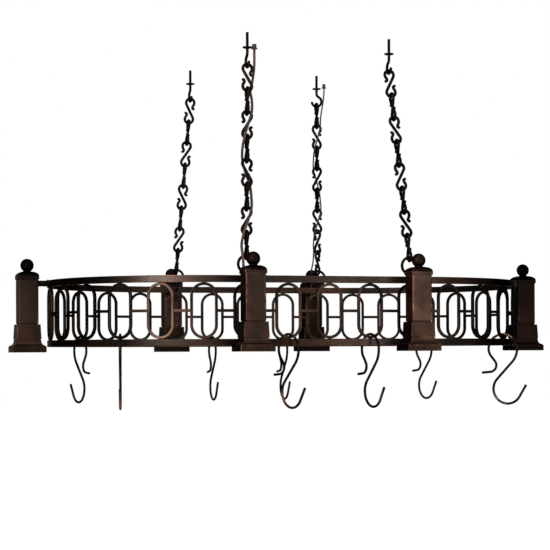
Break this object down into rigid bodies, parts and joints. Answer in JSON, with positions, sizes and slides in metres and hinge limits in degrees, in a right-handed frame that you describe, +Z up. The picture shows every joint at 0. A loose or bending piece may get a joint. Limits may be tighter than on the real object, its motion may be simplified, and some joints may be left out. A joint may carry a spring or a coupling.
{
  "type": "hanging pot rack",
  "caption": "Ceiling-hung racetrack pot rack with two rails joined by oval fretwork, square posts with ball finials, S-link chains and loose S-shaped pot hooks.",
  "frame": {"origin": "on the ceiling face, in the middle of the four ceiling hooks and over the middle of the rack", "axes": "+Z up out of the ceiling, +X along the length of the rack, +Y across it, away from the side that the picture shows in front"},
  "size_m": [1.222, 0.802, 0.7759],
  "materials": {
    "rail_bronze": "satin oil-rubbed bronze",
    "fretwork_bronze": "satin oil-rubbed bronze",
    "post_bronze": "satin oil-rubbed bronze with a warm brown cast",
    "chain_black": "satin dark bronze",
    "hook_black": "satin black bronze",
    "fastener_steel": "zinc plated",
    "cord_copper": "brown sheathed lamp cord",
    "cord_black": "black sheathed cord",
    "bush_black": "black moulded bush"
  },
  "bodies": {
    "ceiling": {"ceiling_hook_front_left": "chain_black", "ceiling_hook_front_right": "chain_black", "ceiling_hook_back_left": "chain_black", "ceiling_hook_back_right": "chain_black", "ceiling_bushes": "bush_black"},
    "rack": {"top_rail": "rail_bronze", "lower_rail": "rail_bronze", "fretwork_ovals": "fretwork_bronze", "fretwork_bars": "fretwork_bronze", "post_base_left": "post_bronze", "post_base_right": "post_bronze", "post_base_front_left": "post_bronze", "post_base_front_right": "post_bronze", "post_base_back_left": "post_bronze", "post_base_back_right": "post_bronze", "post_shaft_left": "post_bronze", "post_shaft_right": "post_bronze", "post_shaft_front_left": "post_bronze", "post_shaft_front_right": "post_bronze", "post_shaft_back_left": "post_bronze", "post_shaft_back_right": "post_bronze", "post_cap_left": "post_bronze", "post_cap_right": "post_bronze", "post_cap_front_left": "post_bronze", "post_cap_front_right": "post_bronze", "post_cap_back_left": "post_bronze", "post_cap_back_right": "post_bronze", "ball_finials": "post_bronze", "tie_rods": "fastener_steel", "tie_nuts": "fastener_steel", "tie_washers": "fastener_steel", "rail_spacers": "rail_bronze", "spacer_screws": "rail_bronze", "hanging_ring_front_left": "chain_black", "hanging_ring_front_right": "chain_black", "hanging_ring_back_left": "chain_black", "hanging_ring_back_right": "chain_black", "post_bushes": "bush_black"},
    "chain_top_front_left": {"chain_top_front_left": "chain_black"},
    "chain_middle_front_left": {"chain_middle_front_left": "chain_black", "cord_front_left": "cord_copper"},
    "chain_end_front_left": {"chain_end_front_left": "chain_black"},
    "chain_top_front_right": {"chain_top_front_right": "chain_black"},
    "chain_middle_front_right": {"chain_middle_front_right": "chain_black"},
    "chain_end_front_right": {"chain_end_front_right": "chain_black"},
    "chain_top_back_left": {"chain_top_back_left": "chain_black"},
    "chain_middle_back_left": {"chain_middle_back_left": "chain_black"},
    "chain_end_back_left": {"chain_end_back_left": "chain_black"},
    "chain_top_back_right": {"chain_top_back_right": "chain_black"},
    "chain_middle_back_right": {"chain_middle_back_right": "chain_black", "cord_back_right": "cord_black"},
    "chain_end_back_right": {"chain_end_back_right": "chain_black"},
    "pot_hook_1": {"pot_hook_1": "hook_black"},
    "pot_hook_2": {"pot_hook_2": "hook_black"},
    "pot_hook_3": {"pot_hook_3": "hook_black"},
    "pot_hook_4": {"pot_hook_4": "hook_black"},
    "pot_hook_5": {"pot_hook_5": "hook_black"},
    "pot_hook_6": {"pot_hook_6": "hook_black"},
    "pot_hook_7": {"pot_hook_7": "hook_black"},
    "pot_hook_8": {"pot_hook_8": "hook_black"}
  },
  "joints": [
    {"name": "sway_along", "type": "hinge", "parent": "ceiling", "child": "chain_top_front_left", "pos_m": [-0.15491, -0.25072, -0.0388], "axis": [0, 1, 0], "range_deg": [-4, 4], "deforming": ["cord_front_left"]},
    {"name": "sway_across", "type": "hinge", "parent": "chain_top_front_left", "child": "chain_middle_front_left", "pos_m": [-0.15755, -0.2587, -0.08869], "axis": [1, 0, 0], "range_deg": [-4, 4]},
    {"name": "end_link_front_left", "type": "hinge", "parent": "chain_middle_front_left", "child": "chain_end_front_left", "pos_m": [-0.17339, -0.3065, -0.38748], "axis": [1, 0, 0], "range_deg": [-3.5, 3.5]},
    {"name": "rack_level", "type": "hinge", "parent": "chain_end_front_left", "child": "rack", "pos_m": [-0.1762, -0.315, -0.44058], "axis": [0, 1, 0], "range_deg": [-3.6, 3.6]},
    {"name": "sway_along_front_right", "type": "hinge", "parent": "ceiling", "child": "chain_top_front_right", "pos_m": [0.15491, -0.25072, -0.03929], "axis": [0, 1, 0], "range_deg": [-4, 4]},
    {"name": "sway_across_front_right", "type": "hinge", "parent": "chain_top_front_right", "child": "chain_middle_front_right", "pos_m": [0.15755, -0.2587, -0.08919], "axis": [1, 0, 0], "range_deg": [-4, 4]},
    {"name": "end_link_front_right", "type": "hinge", "parent": "chain_middle_front_right", "child": "chain_end_front_right", "pos_m": [0.17339, -0.3065, -0.38798], "axis": [1, 0, 0], "range_deg": [-3.5, 3.5]},
    {"name": "sway_along_back_left", "type": "hinge", "parent": "ceiling", "child": "chain_top_back_left", "pos_m": [-0.15491, 0.25072, -0.03929], "axis": [0, 1, 0], "range_deg": [-4, 4]},
    {"name": "sway_across_back_left", "type": "hinge", "parent": "chain_top_back_left", "child": "chain_middle_back_left", "pos_m": [-0.15755, 0.2587, -0.08919], "axis": [1, 0, 0], "range_deg": [-4, 4]},
    {"name": "end_link_back_left", "type": "hinge", "parent": "chain_middle_back_left", "child": "chain_end_back_left", "pos_m": [-0.17339, 0.3065, -0.38798], "axis": [1, 0, 0], "range_deg": [-3.5, 3.5]},
    {"name": "sway_along_back_right", "type": "hinge", "parent": "ceiling", "child": "chain_top_back_right", "pos_m": [0.15491, 0.25072, -0.0402], "axis": [0, 1, 0], "range_deg": [-4, 4], "deforming": ["cord_back_right"]},
    {"name": "sway_across_back_right", "type": "hinge", "parent": "chain_top_back_right", "child": "chain_middle_back_right", "pos_m": [0.15755, 0.2587, -0.09009], "axis": [1, 0, 0], "range_deg": [-4, 4]},
    {"name": "end_link_back_right", "type": "hinge", "parent": "chain_middle_back_right", "child": "chain_end_back_right", "pos_m": [0.17339, 0.3065, -0.38888], "axis": [1, 0, 0], "range_deg": [-3.5, 3.5]},
    {"name": "pot_hook_1_swing", "type": "hinge", "parent": "rack", "child": "pot_hook_1", "pos_m": [-0.42047, 0.23436, -0.62463], "axis": [-0.9616, -0.2744, 0], "range_deg": [-15, 15]},
    {"name": "pot_hook_2_swing", "type": "hinge", "parent": "rack", "child": "pot_hook_2", "pos_m": [-0.42047, -0.23436, -0.62463], "axis": [0.9784, -0.2066, 0], "range_deg": [-15, 15]},
    {"name": "pot_hook_3_swing", "type": "hinge", "parent": "rack", "child": "pot_hook_3", "pos_m": [-0.0881, -0.315, -0.62463], "axis": [0.9205, 0.3907, 0], "range_deg": [-15, 15]},
    {"name": "pot_hook_4_swing", "type": "hinge", "parent": "rack", "child": "pot_hook_4", "pos_m": [0.0881, -0.315, -0.62463], "axis": [0.9703, 0.2419, 0], "range_deg": [-15, 15]},
    {"name": "pot_hook_5_swing", "type": "hinge", "parent": "rack", "child": "pot_hook_5", "pos_m": [0.42047, -0.23436, -0.62463], "axis": [0.6167, 0.7872, 0], "range_deg": [-15, 15]},
    {"name": "pot_hook_6_swing", "type": "hinge", "parent": "rack", "child": "pot_hook_6", "pos_m": [0.42047, 0.23436, -0.62463], "axis": [-0.5457, 0.838, 0], "range_deg": [-15, 15]},
    {"name": "pot_hook_7_swing", "type": "hinge", "parent": "rack", "child": "pot_hook_7", "pos_m": [0.0881, 0.315, -0.62463], "axis": [-0.8192, 0.5736, 0], "range_deg": [-15, 15]},
    {"name": "pot_hook_8_swing", "type": "hinge", "parent": "rack", "child": "pot_hook_8", "pos_m": [-0.0881, 0.315, -0.62463], "axis": [-0.8746, 0.4848, 0], "range_deg": [-15, 15]}
  ],
  "couplings": [
    {"joint": "end_link_front_left", "follows": "sway_across", "ratio": -0.844},
    {"joint": "sway_along_front_right", "follows": "sway_along", "ratio": 1},
    {"joint": "sway_across_front_right", "follows": "sway_across", "ratio": 1},
    {"joint": "end_link_front_right", "follows": "sway_across", "ratio": -0.844},
    {"joint": "sway_along_back_left", "follows": "sway_along", "ratio": 1},
    {"joint": "sway_across_back_left", "follows": "sway_across", "ratio": 1},
    {"joint": "end_link_back_left", "follows": "sway_across", "ratio": -0.844},
    {"joint": "sway_along_back_right", "follows": "sway_along", "ratio": 1},
    {"joint": "sway_across_back_right", "follows": "sway_across", "ratio": 1},
    {"joint": "end_link_back_right", "follows": "sway_across", "ratio": -0.844},
    {"joint": "rack_level", "follows": "sway_along", "ratio": -0.8791}
  ]
}
